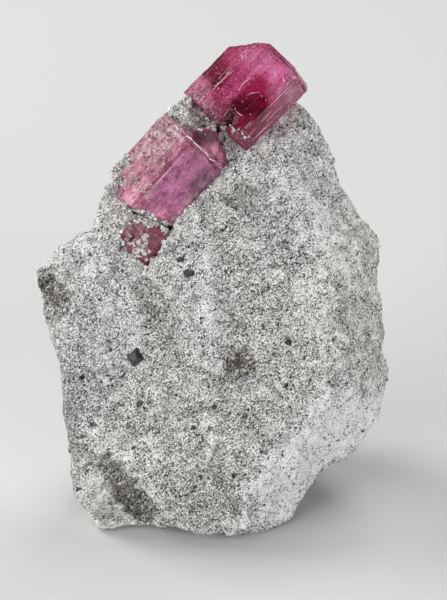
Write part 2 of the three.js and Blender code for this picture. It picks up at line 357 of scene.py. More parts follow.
def shareOf(zone, places):
    if "outline" in zone:
        corners = np.array(zone["outline"], float)
        inside = np.zeros(len(places), bool)
        nearest = np.full(len(places), 1e9)
        for first, second in zip(corners, np.roll(corners, -1, 0)):
            along = second - first
            part = np.clip(((places - first) @ along) / (along @ along), 0, 1)
            nearest = np.minimum(nearest, np.linalg.norm(places - first - part[:, None] * along, axis=1))
            crosses = (first[1] > places[:, 1]) != (second[1] > places[:, 1])
            reach = first[0] + (places[:, 1] - first[1]) / (along[1] or 1e-9) * along[0]
            inside ^= crosses & (places[:, 0] < reach)
        return smoothStep(np.where(inside, nearest, -nearest), -zone["soft"], zone["soft"])
    turn = math.radians(zone["turn"])
    dx, dy = (places - np.array(zone["at"])).T
    right = (dx * math.cos(turn) - dy * math.sin(turn)) / zone["reach"][0]
    high = (dx * math.sin(turn) + dy * math.cos(turn)) / zone["reach"][1]
    return np.exp(-(right**2 + high**2) ** zone["edge"])


# Adds each zone's amount to a painted value
def paintAmount(mesh, name, zones):
    places = wandering(photoPlaces(pointsOf(mesh)))
    facing = facingFront(mesh)
    values = np.zeros(len(places))
    for zone in zones:
        values += zone["brings"] * shareOf(zone, places) * facing
    setAttribute(mesh, name, values)


# Lays each zone's colour over the ones before it
def paintColour(mesh, name, start, zones):
    places = photoPlaces(pointsOf(mesh))
    facing = facingFront(mesh)
    colours = np.tile(np.array(start[:3]), (len(places), 1))
    for zone in zones:
        share = shareOf(zone, places) * facing * zone["share"]
        colours += share[:, None] * (np.array(shown(*zone["brings"])[:3]) - colours)
    setAttribute(mesh, name, colours)


# What the photo shows at a pixel: the place on a piece and the way it faces
def seenAt(tree, pixel):
    width, height = front["photoSize"]
    x, y = (pixel[0] - width / 2) * front["photoPixel"], (height / 2 - pixel[1]) * front["photoPixel"]
    way = cameraPlace.to_3x3() @ Vector((x, y, -front["cameraDistance"]))
    place, normal, _, _ = tree.ray_cast(cameraPlace.translation, way.normalized())
    return place, normal


def joinRings(shape, ring, after):
    for index in range(len(ring)):
        turn = (index + 1) % len(ring)
        shape.faces.new((ring[index], ring[turn], after[turn], after[index]))


# Sweeps a closed outline along places, each with its own sideways, upwards and size
def sweep(shape, places, sideways, upwards, outline, sizes, closed=False):
    rings = []
    for place, side, up, size in zip(places, sideways, upwards, sizes):
        rings.append([shape.verts.new(place + side * x * size + up * y * size) for x, y in outline])
    pairs = list(zip(rings, rings[1:] + rings[:1]))
    for ring, after in pairs if closed else pairs[:-1]:
        joinRings(shape, ring, after)
    if not closed:
        shape.faces.new(rings[0])
        shape.faces.new(rings[-1])


def pieceFrom(shape, name):
    bmesh.ops.recalc_face_normals(shape, faces=shape.faces)
    mesh = bpy.data.meshes.new(name)
    shape.to_mesh(mesh)
    shape.free()
    return newObject(name, mesh)


def finishPiece(piece, material, node=None):
    piece.data.materials.clear()
    piece.data.materials.append(material)
    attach(piece, "root")
    if node:
        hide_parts(node)
    piece.data.calc_loop_triangles()
    print(piece.name, len(piece.data.loop_triangles), "triangles")


# Grains of mineral scattered over a piece, where its named share allows
def scatterGrains(host, name, share, grains, material):
    piece = newObject(name, host.data.copy())
    smallest, largest = grains["size"]
    inputs = {
        "Spacing": grains["spacing"] * mm,
        "Clumping": grains.get("clumping", 0.0),
        "Smallest": smallest * mm,
        "Largest": largest * mm,
        "Sink": grains["sink"] * mm,
        "Seed": grains["seed"],
    }
    start = startTree(name, inputs)
    place = outputOf("GeometryNodeInputPosition")
    clump = ranged(noise(place, 1.7 / mm, 2.0), 0.46, 0.58) * 2.2
    crowd = start["Clumping"] * (clump - 1.0) + 1.0
    density = named(share) / calc("POWER", start["Spacing"], 2.0)
    spread = outputsOf("GeometryNodeDistributePointsOnFaces", {
        "Mesh": start["Geometry"],
        "Density": density * crowd,
        "Seed": start["Seed"],
    })
    lowered = nodeValue(spread["Normal"]) * (start["Sink"] * -1.0)
    if grains["kind"] == "cube":
        body = outputOf("GeometryNodeMeshCube", {"Size": (1.7, 1.7, 1.7)})
    else:
        body = outputOf("GeometryNodeMeshIcoSphere", {"Radius": 1.0, "Subdivisions": 1})
    skew = randomValue((0.0, 0.0, 0.0), (1.0, 1.0, 1.0), 3)
    size = randomValue(start["Smallest"], start["Largest"], 5)
    placed = outputOf("GeometryNodeInstanceOnPoints", {
        "Points": moved(nodeValue(spread["Points"]), lowered),
        "Instance": body,
        "Rotation": randomValue((0.0, 0.0, 0.0), (math.tau, math.tau, math.tau), 7),
        "Scale": (skew + (0.5, 0.5, 0.5)) * size,
    })
    shade = {"Geometry": placed, "Name": "shade", "Value": randomValue(0.0, 1.0, 9)}
    kind = "GeometryNodeStoreNamedAttribute"
    shaded = outputOf(kind, shade, data_type="FLOAT", domain="INSTANCE")
    realised = outputOf("GeometryNodeRealizeInstances", {"Geometry": shaded})
    shake = noise(place, 9 / mm, 0.0, output=1) - (0.5, 0.5, 0.5)
    useTree(piece, moved(realised, shake * (start["Largest"] * 1.1)), inputs, material)
    keepAbovePlane(piece.data)
    piece.data.shade_flat()
    finishPiece(piece, material)


def grainMaterial(name, low, high, roughness):
    material, shader = newMaterial(name)
    flecks = noise(placeInMillimetres(), 5.0, 3.0, 0.6)
    shade = painted("shade") * 0.75 + (flecks - 0.38)
    setInputs(shader, {
        "Base Color": blended(shade, shown(*low), shown(*high)),
        "Roughness": roughness,
        "Normal": bump(flecks, 0.03, 0.6),
    })
    return material


# Crystals, from the named values of the CAD's prisms: centre across, up and out, rise of the long axis
upper = {
    "node": "upper_crystal", "name": "upperCrystal", "slot": "clear_beryl",
    "centre": (2.14, 17.8, -3), "axis": 45,
    "skin": {"Stria Width": 0.35, "Stria Height": 0.016, "Step Height": 0.012,
             "Pit Height": 0.03, "Chip Height": 0.06, "Seed": 3.0},
    "roughness": (0.05, 0.2), "transmission": 0.7, "absorb": (0.97, 0.35, 0.65, 1), "density": 240,
    "crust": 0.3, "crumbs": 6.0,
    "bump": 0.012, "streak": 4.5, "cloud": 3.4, "mottle": 6.0, "shards": 0.9, "hairs": 1.0,
    "start": shown(196, 92, 138), "edgeShade": shown(100, 4, 36), "crumb": shown(238, 186, 206),
    "pit": shown(120, 44, 74),
    "grainy": [
        area(0.7, 4, (182, 93), (195, 79), (206, 88), (212, 104), (228, 121), (224, 128), (205, 114),
             (188, 98)),
        area(0.8, 2, (233, 129), (246, 138), (254, 142), (248, 147), (234, 136)),
        area(0.6, 2, (248, 144), (288, 104), (294, 106), (254, 147)),
        spot(246, 54, 9, 5, 0.5, turn=40),
    ],
    "zones": [
        area((112, 2, 34), 4, (200, 76), (222, 50), (240, 42), (230, 64), (226, 84), (218, 92), (211, 88),
             (211, 79)),  # crimson upper left flank
        area((252, 154, 188), 4, (183, 93), (197, 74), (209, 84), (212, 96), (216, 106), (205, 114),
             (190, 99)),  # granular left end
        spot(289, 82, 14, 16, (255, 206, 244), turn=-40),
        spot(224, 72, 9, 12, (120, 4, 40), turn=-45, share=0.7),
        spot(238, 56, 12, 9, (206, 78, 126)),  # red pink below the notch
        area((250, 142, 196), 4, (226, 104), (246, 78), (262, 60), (284, 60), (294, 80), (280, 92),
             (268, 70), (250, 76)),  # violet pink band
        spot(264, 57, 26, 12, (240, 148, 188), share=0.85),  # pale top
        area((158, 36, 78), 5, (226, 112), (234, 100), (238, 95), (243, 86), (251, 82), (260, 76),
             (266, 80), (268, 86), (267, 94), (270, 104), (268, 114), (262, 124), (250, 138), (236, 128),
             (224, 120)),  # red core
        area((98, 16, 42), 4, (226, 114), (231, 101), (240, 94), (248, 92), (257, 92), (262, 97),
             (266, 103), (266, 110), (262, 117), (256, 113), (246, 115), (237, 111)),  # dark core
        area((128, 22, 50), 1.5, (250, 104), (259, 97), (268, 98), (266, 106),
             (256, 110)),  # lighter face in the dark core
        area((192, 98, 136), 3, (264, 116), (298, 80), (304, 92), (290, 105), (287, 117), (279, 124),
             (275, 123)),  # silvery lower right face
        area((240, 150, 186), 3, (286, 92), (298, 79), (305, 91), (300, 98), (288, 106)),  # paler end of it
        area((176, 78, 116), 3, (246, 145), (258, 121), (276, 122), (252, 146)),
        area((16, 2, 6), 1.5, (222, 126), (225, 117), (235, 110), (238, 114),
             (233, 127)),  # recess beside the slab, near black: painted shade in the recess
        area((176, 52, 88), 1.5, (235, 112), (246, 118), (245, 131), (232, 128)),  # slab
    ],
}
middle = {
    "node": "middle_crystal", "name": "middleCrystal", "slot": "etched_beryl",
    "centre": (-4.85, 11.05, -2.5), "axis": 48,
    "skin": {"Stria Width": 0.45, "Stria Height": 0.04, "Step Height": 0.03,
             "Pit Height": 0.1, "Chip Height": 0.25, "Seed": 11.0},
    "roughness": (0.25, 0.5), "transmission": 0.25, "absorb": (0.95, 0.4, 0.7, 1), "density": 220,
    "crust": 0.8, "crumbs": 3.5,
    "bump": 0.05, "streak": 2.0, "cloud": 6.0, "mottle": 5.5, "shards": 0.9, "hairs": 0.35,
    "start": shown(180, 110, 142), "edgeShade": shown(122, 40, 76), "crumb": shown(204, 182, 176),
    "pit": shown(112, 58, 70),
    "grainy": [
        area(0.75, 5, (108, 178), (164, 108), (182, 125), (176, 146), (164, 150), (152, 162), (142, 158),
             (130, 170), (120, 190)),
        spot(137, 182, 7, 9, 0.8), spot(148, 191, 7, 6, 0.7),
        area(0.4, 3, (205, 178), (224, 166), (224, 173), (172, 226), (166, 224)),
    ],
    "zones": [
        area((162, 90, 114), 4, (110, 176), (164, 109), (180, 128), (172, 150), (177, 160), (152, 188),
             (146, 176), (128, 192)),  # left face
        area((222, 142, 168), 4, (124, 192), (146, 176), (153, 189), (141, 212),
             (124, 206)),  # glassy chips
        area((172, 96, 138), 2, (152, 189), (178, 160), (186, 150), (222, 171), (169, 227),
             (146, 211)),  # right face
        spot(160, 210, 15, 12, (204, 118, 156)), spot(144, 203, 7, 5, (146, 54, 86), turn=40, share=0.8),
        # Painted shade: darker purple low on the right face
        spot(203, 184, 13, 17, (96, 54, 88), turn=-40, share=0.85),
        spot(202, 160, 16, 9, (130, 62, 98), turn=-35, share=0.7),
        spot(176, 131, 10, 6, (236, 208, 212), turn=-38, share=0.9),
        spot(167, 119, 8, 6, (226, 180, 188), turn=-38, share=0.8),
        spot(184, 147, 7, 5, (150, 36, 70), share=0.9),  # crimson spot
        area((206, 128, 156), 2, (177, 131), (190, 129), (216, 127), (229, 158),
             (224, 169)),  # block beyond the healed crack
        area((88, 30, 54), 3, (187, 131), (214, 127), (220, 139), (209, 147), (197, 146)),  # its dark top
        spot(201, 137, 11, 6, (60, 10, 28), turn=-10, share=0.9),
        spot(212, 155, 8, 8, (214, 136, 166), turn=-35, share=0.8),
        # Painted shade down the right edge of the block
        area((104, 44, 68), 2, (216, 128), (230, 156), (226, 170), (221, 166), (223, 156), (212, 134)),
    ],
}
lower = {
    "node": "lower_crystal", "name": "lowerCrystal", "slot": "etched_beryl",
    "centre": (-6.6, 5.6, -1.8), "axis": 47,
    "skin": {"Stria Width": 0.4, "Stria Height": 0.05, "Step Height": 0.04,
             "Pit Height": 0.12, "Chip Height": 0.3, "Seed": 23.0},
    "roughness": (0.2, 0.45), "transmission": 0.25, "absorb": (0.95, 0.4, 0.7, 1), "density": 220,
    "crust": 0.5, "crumbs": 4.5,
    "bump": 0.05, "streak": 1.0, "cloud": 3.0, "mottle": 7.0, "shards": 0.8, "hairs": 0.2,
    "start": shown(124, 38, 66), "edgeShade": shown(104, 24, 52), "crumb": shown(206, 184, 188),
    "pit": shown(60, 18, 32),
    "grainy": [spot(136, 240, 16, 16, 0.5)],
    "zones": [
        spot(133, 230, 8, 9, (104, 44, 66)), spot(142, 231, 6, 8, (128, 24, 54)),
        spot(160, 240, 9, 12, (132, 58, 84), turn=-45),
    ],
}
crystalMesh = {
    "cell": 0.085 * mm,
    "sharpAngle": math.radians(12),
    "edgeStep": 0.06 * mm,
    "edgeReach": (0.05 * mm, 0.35 * mm),
    "grooveRounds": 40,  # rounds of smoothing in the groove of the healed crack
}


def crystalAxes(crystal):
    rise = math.radians(crystal["axis"])
    side = Vector((math.sin(rise), -math.cos(rise), 0))
    along = Vector((math.cos(rise), math.sin(rise), 0))
    place = Matrix((Vector((0, 0, 1)), side, along)).transposed().to_4x4()
    place.translation = Vector(crystal["centre"]) * mm
    return frontPlace @ place


def beryl(crystal):
    material, shader = newMaterial(crystal["name"] + "Beryl")
    local, colour, grainy = painted("crystalPlace", "Vector"), painted("colour", "Color"), painted("grainy")
    paler = blended(1.0, colour, (0.38, 0.45, 0.42, 1), "DODGE")
    deeper = blended(1.0, colour, (0.62, 0.4, 0.5, 1), "MULTIPLY")
    clouds = noise(local, 1.1, 5.0, 0.6)
    streaks = noise(local * (1.0, 1.0, 0.07), 5.0, 4.0, 0.65)
    shard = dotted(cells(local + noise(local, 0.8, 2.0, output=1) * 1.2, 0.75)["Color"], (1, 0, 0))
    flecks = (noise(local, 6.5, 3.0, 0.7) - 0.5) * crystal["mottle"] + (shard - 0.5) * crystal["shards"]
    flecks = flecks + ((clouds - 0.5) * crystal["cloud"] + (streaks - 0.5) * crystal["streak"])
    hairs = noise(local * (1.0, 1.0, 0.05), 11.0, 2.0, 0.5)
    crust = ranged(noise(local, 1.4, 5.0, 0.75), 0.46, 0.58, 0.0, crystal["crust"])
    crumb = partsOf(cells(local, crystal["crumbs"])["Color"])[0]
    for share, laid in (
        (flecks, paler),
        (flecks * -1.0, deeper),
        (ranged(hairs, 0.62, 0.7) * crystal["hairs"], paler),
        (crust * grainy, crystal["crumb"]),
        (grainy * ranged(crumb, 0.6, 0.75), crystal["crumb"]),
        (grainy * ranged(crumb, 0.26, 0.12), crystal["pit"]),
        # darker near the sharp edges: painted shade of the edges
        (painted("edge") * 0.45, crystal["edgeShade"]),
    ):
        colour = blended(share, colour, laid)
    haze = noise(local, 3.0, 4.0, 0.6)
    setInputs(shader, {
        "Base Color": colour,
        "Roughness": ranged(haze, 0.35, 0.65, *crystal["roughness"]),
        "Transmission Weight": crystal["transmission"],
        "IOR": 1.57,
        "Specular IOR Level": 0.3,
        "Normal": bump(streaks + haze * 0.6, crystal["bump"]),
    })
    absorb = {"Color": crystal["absorb"], "Density": crystal["density"]}
    volume = outputOf("ShaderNodeVolumeAbsorption", absorb)
    setInputs(material.node_tree.nodes["Material Output"], {"Volume": volume})
    return material


# Growth lines along the crystal, growth steps, etch pits and chipped edges
def addCrystalSkin(piece, crystal, material):
    start = startTree(crystal["name"] + "Skin", crystal["skin"])
    local = seeded(named("crystalPlace", "FLOAT_VECTOR"), start["Seed"])
    stria = noise(local * (1.0, 1.0, 0.06), 1.0 / start["Stria Width"], 3.0, 0.6)
    striae = (stria - 0.5) * start["Stria Height"]
    level = calc("FLOOR", noise(local * (1.0, 1.0, 0.4), 0.6, 2.0) * 9.0)
    steps = (level - 4.5) * start["Step Height"]
    pits = ranged(noise(local, 2.2, 3.0, 0.6), 0.52, 0.72) * start["Pit Height"]
    chips = ranged(noise(local, 1.3, 3.0, 0.6), 0.46, 0.66) * named("edge") * start["Chip Height"]
    height = (striae + steps) - (pits + chips)
    offset = outputOf("GeometryNodeInputNormal") * (height * mm)
    useTree(piece, moved(start["Geometry"], offset), crystal["skin"], material)


def sharpEdgePlaces(mesh):
    shape = bmesh.new()
    shape.from_mesh(mesh)
    places = []
    for edge in shape.edges:
        if edge.calc_face_angle(0) > crystalMesh["sharpAngle"]:
            first, second = (vertex.co for vertex in edge.verts)
            count = max(2, int((second - first).length / crystalMesh["edgeStep"]))
            places += [first.lerp(second, step / (count - 1)) for step in range(count)]
    shape.free()
    tree = KDTree(len(places))
    for index, place in enumerate(places):
        tree.insert(place, index)
    tree.balance()
    return tree


def makeCrystal(crystal):
    piece = copyOfNode(crystal["node"], crystal["name"])
    flat = treeOf(piece)
    sharpEdges = sharpEdgePlaces(piece.data)
    remesh(piece, crystalMesh["cell"])
    setPoints(piece.data, np.array([flat.find_nearest(Vector(point))[0] for point in pointsOf(piece.data)]))
    setPoints(piece.data, smoothPoints(piece.data, 1))
    inward = np.array(crystalAxes(crystal).inverted())
    if crystal is middle:
        points, softened = pointsOf(piece.data), smoothPoints(piece.data, crystalMesh["grooveRounds"])
        off = (points @ inward[2, :3] + inward[2, 3]) / mm - healedCrack["along"]
        groove = np.exp(-((off / healedCrack["filledTo"]) ** 2))[:, None]
        setPoints(piece.data, points + groove * (softened - points))

    mesh = piece.data
    points = pointsOf(mesh)
    reach = np.array([sharpEdges.find(Vector(point))[2] for point in points])
    setAttribute(mesh, "edge", 1 - smoothStep(reach, *crystalMesh["edgeReach"]))
    setAttribute(mesh, "crystalPlace", (points @ inward[:3, :3].T + inward[:3, 3]) / mm)
    material = beryl(crystal)
    addCrystalSkin(piece, crystal, material)
    mesh = piece.data
    mesh.shade_smooth()
    paintColour(mesh, "colour", crystal["start"], crystal["zones"])
    paintAmount(mesh, "grainy", crystal["grainy"])
    finishPiece(piece, material, crystal["node"])
    return piece


# Rhyolite
rhyolite = {
    "cell": 0.205 * mm,  # mesh cells of the rock's skin
    # Broken facets, lumps and grains, in millimetres
    "skin": {"Facet Size": 2.4, "Facet Tilt": 0.2, "Lump Size": 1.0, "Lump Height": 0.24,
             "Grain Size": 0.55, "Grain Height": 0.2, "Seed": 7.0},
    "socketReach": 0.62 * mm,  # how far the rock closes up on a crystal
    "socketFade": 0.6,  # the share of that reach with the full pull
    "socketSink": 0.05,  # how far into the crystal, in millimetres
    "contactReach": (0.2 * mm, 1.1 * mm),
    "proudReach": 0.2 * mm,  # how far a full ridge or hollow stands off the smooth form
    "proudRounds": 60,  # rounds of smoothing to that form
    "baseReach": 0.2 * mm,  # how high grains begin above the base
    "cleanLoss": 0.75,  # fewer grains where the rock is clean
    "contactGain": 0.6,  # more along the crystals
    "dark": shown(112, 109, 102),
    "light": shown(247, 247, 244),
    "coolLight": shown(243, 246, 251),
    "brown": shown(156, 144, 126),
    "speck": shown(34, 33, 31),
    "sparkle": shown(252, 252, 252),
    # Grain runs up to the right: along it, square to it across the front, and out
    "strokes": (0.65 * (acrossWay + upWay) * math.sqrt(0.5), (upWay - acrossWay) * math.sqrt(0.5), outWay),
    # Dark specks: how many to a millimetre, and what part of the usual share of them is dark
    "specks": ((2.2, 0.06), (4.5, 0.22), (7.0, 0.75), (13.0, 2.4)),
}
lowerRightBreak = [(334, 388), (300, 420), (268, 455), (252, 488), (245, 525), (288, 528), (330, 480),
                   (382, 425), (388, 395)]
tonePatches = [  # paler where positive, darker where negative
    # Paler shoulder that faces up: painted light
    spot(78, 262, 34, 20, 0.1, turn=20),
    area(-1.4, 4, (36, 270), (52, 275), (68, 291), (73, 304), (62, 319), (50, 316),
         (42, 300)),  # brown corner, also darkened as painted shade of the undercut facet
    spot(100, 345, 32, 68, -0.15, turn=-15),  # valley
    spot(203, 300, 14, 50, 0.35, turn=8),  # pale band
    # Darker diagonal along a hollow: painted shade
    spot(154, 308, 30, 10, -0.45, turn=-59),
    spot(240, 363, 12, 12, -2.8, edge=2),  # brown pit, darkened further as painted shade in the pit
    spot(222, 388, 22, 9, -0.3, turn=58), spot(240, 327, 10, 9, -0.4), spot(347, 307, 8, 12, -0.35),
    spot(300, 132, 7, 7, -0.3), spot(115, 325, 5, 5, -0.35), spot(118, 366, 9, 12, -0.2),
    spot(74, 445, 10, 11, -0.4), spot(72, 470, 8, 40, -0.2),
    area(-1.15, 4, (98, 456), (112, 462), (126, 472), (136, 487), (149, 501), (153, 519), (138, 521),
         (124, 508), (112, 492), (100, 478)),  # hollow under the ledge: painted shadow under the ledge
    area(0.6, 24, *lowerRightBreak),
    # The first spot lightens the right side: painted light
    spot(350, 250, 42, 120, 0.45), spot(290, 160, 40, 40, 0.32), spot(190, 116, 22, 14, 0.25, turn=-30),
    # Darker low in the middle, on the boss below the ledge and down the steep left edge: painted shade
    spot(190, 500, 60, 25, -0.5), spot(108, 508, 22, 16, -1.3), spot(68, 400, 18, 60, -0.8),
    spot(253, 196, 16, 11, -0.5, edge=2), spot(268, 212, 16, 12, 0.2), spot(320, 190, 20, 50, 0.2),
    # Paler beside the lower end of the upper crystal, painting out its cast shadow: painted light
    spot(287, 124, 11, 10, 0.5),
]
warmPatches = [
    spot(157, 420, 60, 26, 0.45), spot(240, 364, 15, 15, 1.4), spot(57, 295, 20, 24, 0.9),
    spot(362, 232, 14, 16, 0.6), spot(154, 308, 32, 14, 0.6, turn=-59), spot(240, 327, 12, 10, 0.5),
    spot(347, 307, 9, 13, 0.5), spot(126, 490, 30, 14, 0.5, turn=-50), spot(218, 392, 20, 12, 0.5, turn=58),
    spot(186, 113, 24, 14, 1.2, turn=-30), spot(253, 196, 14, 10, 0.4),
]
coolPatches = [
    spot(98, 345, 32, 75, 1, turn=-15), spot(205, 300, 20, 58, 0.9, turn=8),
    area(0.9, 24, *lowerRightBreak),
    # The second spot, on the shoulder that faces up, is painted light
    spot(285, 195, 40, 60, 0.5), spot(85, 255, 26, 16, 0.4),
]
cleanPatches = [  # fewer grains
    area(0.35, 20, (334, 392), (300, 422), (266, 460), (250, 492), (240, 528), (300, 530), (390, 420)),
    spot(100, 330, 30, 50, 0.5, turn=-15), spot(112, 500, 34, 32, 1), spot(108, 506, 22, 17, 0.8),
    spot(113, 482, 11, 16, 0.7), spot(160, 421, 55, 20, 0.15), spot(302, 160, 22, 34, -0.5),
    spot(253, 196, 16, 11, 1, edge=2),
]
ledge = [(94, 453), (110, 459), (124, 469), (134, 485), (148, 499)]
forms = [  # ridges where positive and hollows where negative, in millimetres
    area(-0.45, 2, *ledge, (154, 522), (140, 522), (124, 508), (110, 492), (96, 470)),
    area(-0.35, 2.5, *ledge, (154, 524), (120, 534), (84, 520), (70, 480)),
    area(0.35, 4, (334, 389), (301, 418), (266, 456), (249, 490), (240, 526), (246, 528), (255, 494),
         (272, 461), (305, 424), (338, 395)),
    spot(100, 345, 24, 60, -0.45, turn=-15), spot(240, 363, 10, 10, -0.45),
    area(-0.4, 4, (34, 274), (52, 278), (68, 292), (72, 304), (62, 320), (44, 318)),
    spot(205, 300, 11, 46, 0.3, turn=8), spot(154, 308, 28, 9, -0.35, turn=-59),
    area(-0.25, 3, (236, 180), (252, 178), (264, 188), (262, 204), (240, 208)),
]


def addRhyoliteSkin(piece, material):
    start = startTree("rhyoliteSkin", rhyolite["skin"])
    place = outputOf("GeometryNodeInputPosition") * (1 / mm)
    shifted = seeded(place, start["Seed"])
    wobbled = shifted + noise(shifted, 0.9, 2.0, output=1) * 0.8
    facet = cells(wobbled, 1.0 / start["Facet Size"])
    slope = dotted(facet["Color"] - (0.5, 0.5, 0.5), wobbled - facet["Position"])
    lump = noise(shifted, 1.0 / start["Lump Size"], 4.0, 0.6) - 0.5
    lumps = lump * (start["Lump Height"] * 2.0)
    grain = 0.4 - cells(wobbled, 1.0 / start["Grain Size"])["Distance"]
    grains = grain * start["Grain Height"]
    rough = joined("SUBTRACT", 1.0, named("clean") * 0.7, clamp=True)
    height = slope * start["Facet Tilt"] + (lumps + grains) * rough
    offBase = ranged(partsOf(place)[2], 0.0, 0.5, smooth=True)
    offset = outputOf("GeometryNodeInputNormal") * (height * mm * offBase)
    useTree(piece, moved(start["Geometry"], offset), rhyolite["skin"], material)


def rhyoliteMaterial():
    material, shader = newMaterial("speckledRhyolite")
    place = placeInMillimetres()
    names = ("tone", "warm", "cool", "clean", "ridgeLightHollowShade", "away")
    tone, warm, cool, clean, ridgeLightHollowShade, away = (painted(name) for name in names)
    tone = tone + (noise(place, 0.22, 3.0, 0.55) - 0.5) * away * 3.5
    warm = warm + ranged(noise(place, 0.3, 3.0, 0.5), 0.55, 0.7) * away
    mottle = noise(place, 0.5, 4.0, 0.55)
    sugar = noise(place, 2.2, 3.0, 0.6)
    grit = noise(place, 6.0, 2.0, 0.6)
    ways = [dotted(place, way) for way in rhyolite["strokes"]]
    strokes = outputOf("ShaderNodeCombineXYZ", dict(enumerate(ways)))
    powder = noise(strokes, 11.0, 1.0, 0.5)
    busy = ranged(noise(place, 0.8, 4.0, 0.6), 0.36, 0.62, 1.0, 0.0)
    fine = ranged(busy, 0.0, 1.0, 5.0, 7.0) - clean * 3.0
    # ridges paler and hollows darker: painted light and painted shade
    shade = tone * 0.45 + ridgeLightHollowShade * 0.22
    for layer, weight in ((mottle, 0.45), (sugar, 0.5), (grit, 1.1), (powder, fine)):
        shade = shade + (layer - 0.5) * weight
    light = blended(cool, rhyolite["light"], rhyolite["coolLight"])
    ground = blended(ranged(shade, -0.9, 0.4), rhyolite["dark"], light)
    blotches = ranged(noise(place, 1.1, 4.0, 0.65), 0.35, 0.7, 0.0, 0.75)
    ground = blended(blotches * (warm + 0.1), ground, rhyolite["brown"])

    crowd = ranged(busy, 0.0, 1.0, 0.14, 0.56) + tone * -0.4 + clean * -0.32 + ridgeLightHollowShade * -0.06
    ragged = strokes + noise(place, 9.0, 1.0, output=1) * 0.12
    for scale, part in rhyolite["specks"]:
        speck = cells(ragged, scale)
        chance = partsOf(speck["Color"])
        inside = ranged(speck["Distance"], 0.55, 0.4)
        picked = ranged(crowd * part - chance[0], 0.0, 0.02)
        darkness = ranged(chance[1], 0.0, 0.7, 0.6, 1.0)
        ground = blended(inside * picked * darkness, ground, rhyolite["speck"])
        bright = inside * ranged(chance[0], 0.9, 0.92, 0.0, 0.7)
        ground = blended(bright, ground, rhyolite["sparkle"])
    setInputs(shader, {
        "Base Color": ground,
        "Roughness": 0.85,
        "Specular IOR Level": 0.3,
        "Normal": bump(sugar + grit * 0.6 + powder * 0.3, 0.22),
    })
    return material


# Draws the walls of each socket onto its crystal, a little way in
def closeSockets(mesh, crystals):
    points = pointsOf(mesh)
    nearest = np.full(len(points), 1.0)
    reach = rhyolite["socketReach"]
    for crystal in crystals:
        tree = treeOf(crystal)
        shell = pointsOf(crystal.data)
        low, high = shell.min(0) - 2 * reach, shell.max(0) + 2 * reach
        for index in np.nonzero(((points > low) & (points < high)).all(1))[0]:
            place, normal, _, distance = tree.find_nearest(Vector(points[index]))
            nearest[index] = min(nearest[index], distance)
            outside = (Vector(points[index]) - place).dot(normal) > 0
            if outside and distance < reach:
                pull = 1 - float(smoothStep(np.array(distance), rhyolite["socketFade"] * reach, reach))
                target = np.array(place - normal * rhyolite["socketSink"] * mm)
                points[index] += pull * (target - points[index])
    setPoints(mesh, points)
    return nearest


# Raises the ridges and sinks the hollows that the solid leaves out
def pressForms(mesh):
    points = pointsOf(mesh)
    places, facing = wandering(photoPlaces(points)), facingFront(mesh)
    raised = sum(form["brings"] * shareOf(form, places) for form in forms) * facing * mm
    setPoints(mesh, points + raised[:, None] * normalsOf(mesh))


def makeRock(crystals):
    piece = copyOfNode("rhyolite_matrix", "rhyolite")
    remesh(piece, rhyolite["cell"])
    setPoints(piece.data, smoothPoints(piece.data, 6))
    pressForms(piece.data)
    paintAmount(piece.data, "clean", cleanPatches)
    material = rhyoliteMaterial()
    addRhyoliteSkin(piece, material)
    nearest = closeSockets(piece.data, crystals)
    points = keepAbovePlane(piece.data)
    piece.data.shade_smooth()
    for name, patches in (("tone", tonePatches), ("warm", warmPatches), ("cool", coolPatches)):
        paintAmount(piece.data, name, patches)
    mesh = piece.data
    setAttribute(mesh, "away", 1 - facingFront(mesh))
    # how far each point stands off a smoothed copy, for painted light on ridges and painted shade in
    # hollows
    ridgeLightHollowShade = ((points - smoothPoints(mesh, rhyolite["proudRounds"])) * normalsOf(mesh)).sum(1)
    setAttribute(mesh, "ridgeLightHollowShade", np.clip(ridgeLightHollowShade / rhyolite["proudReach"], -1, 1))
    contact = 1 - smoothStep(nearest, *rhyolite["contactReach"])
    clean = np.zeros(len(points), np.float32)
    mesh.attributes["clean"].data.foreach_get("value", clean)
    standing = smoothStep(points[:, 2], 0.0, rhyolite["baseReach"])
    grains = 1 - rhyolite["cleanLoss"] * clean + rhyolite["contactGain"] * contact
    setAttribute(mesh, "grains", np.clip(grains, 0, 2) * standing)
    setAttribute(mesh, "contact", contact)
    finishPiece(piece, material, "rhyolite_matrix")
    return piece


# Grains on the rock
paleGrains = {"kind": "ball", "spacing": 0.6, "size": (0.04, 0.12), "sink": 0.04, "seed": 1}
darkGrains = {"kind": "cube", "spacing": 0.5, "size": (0.03, 0.075), "sink": 0.02, "seed": 2}
contactGrains = {"kind": "ball", "spacing": 0.3, "size": (0.08, 0.22), "sink": 0.02, "seed": 3}
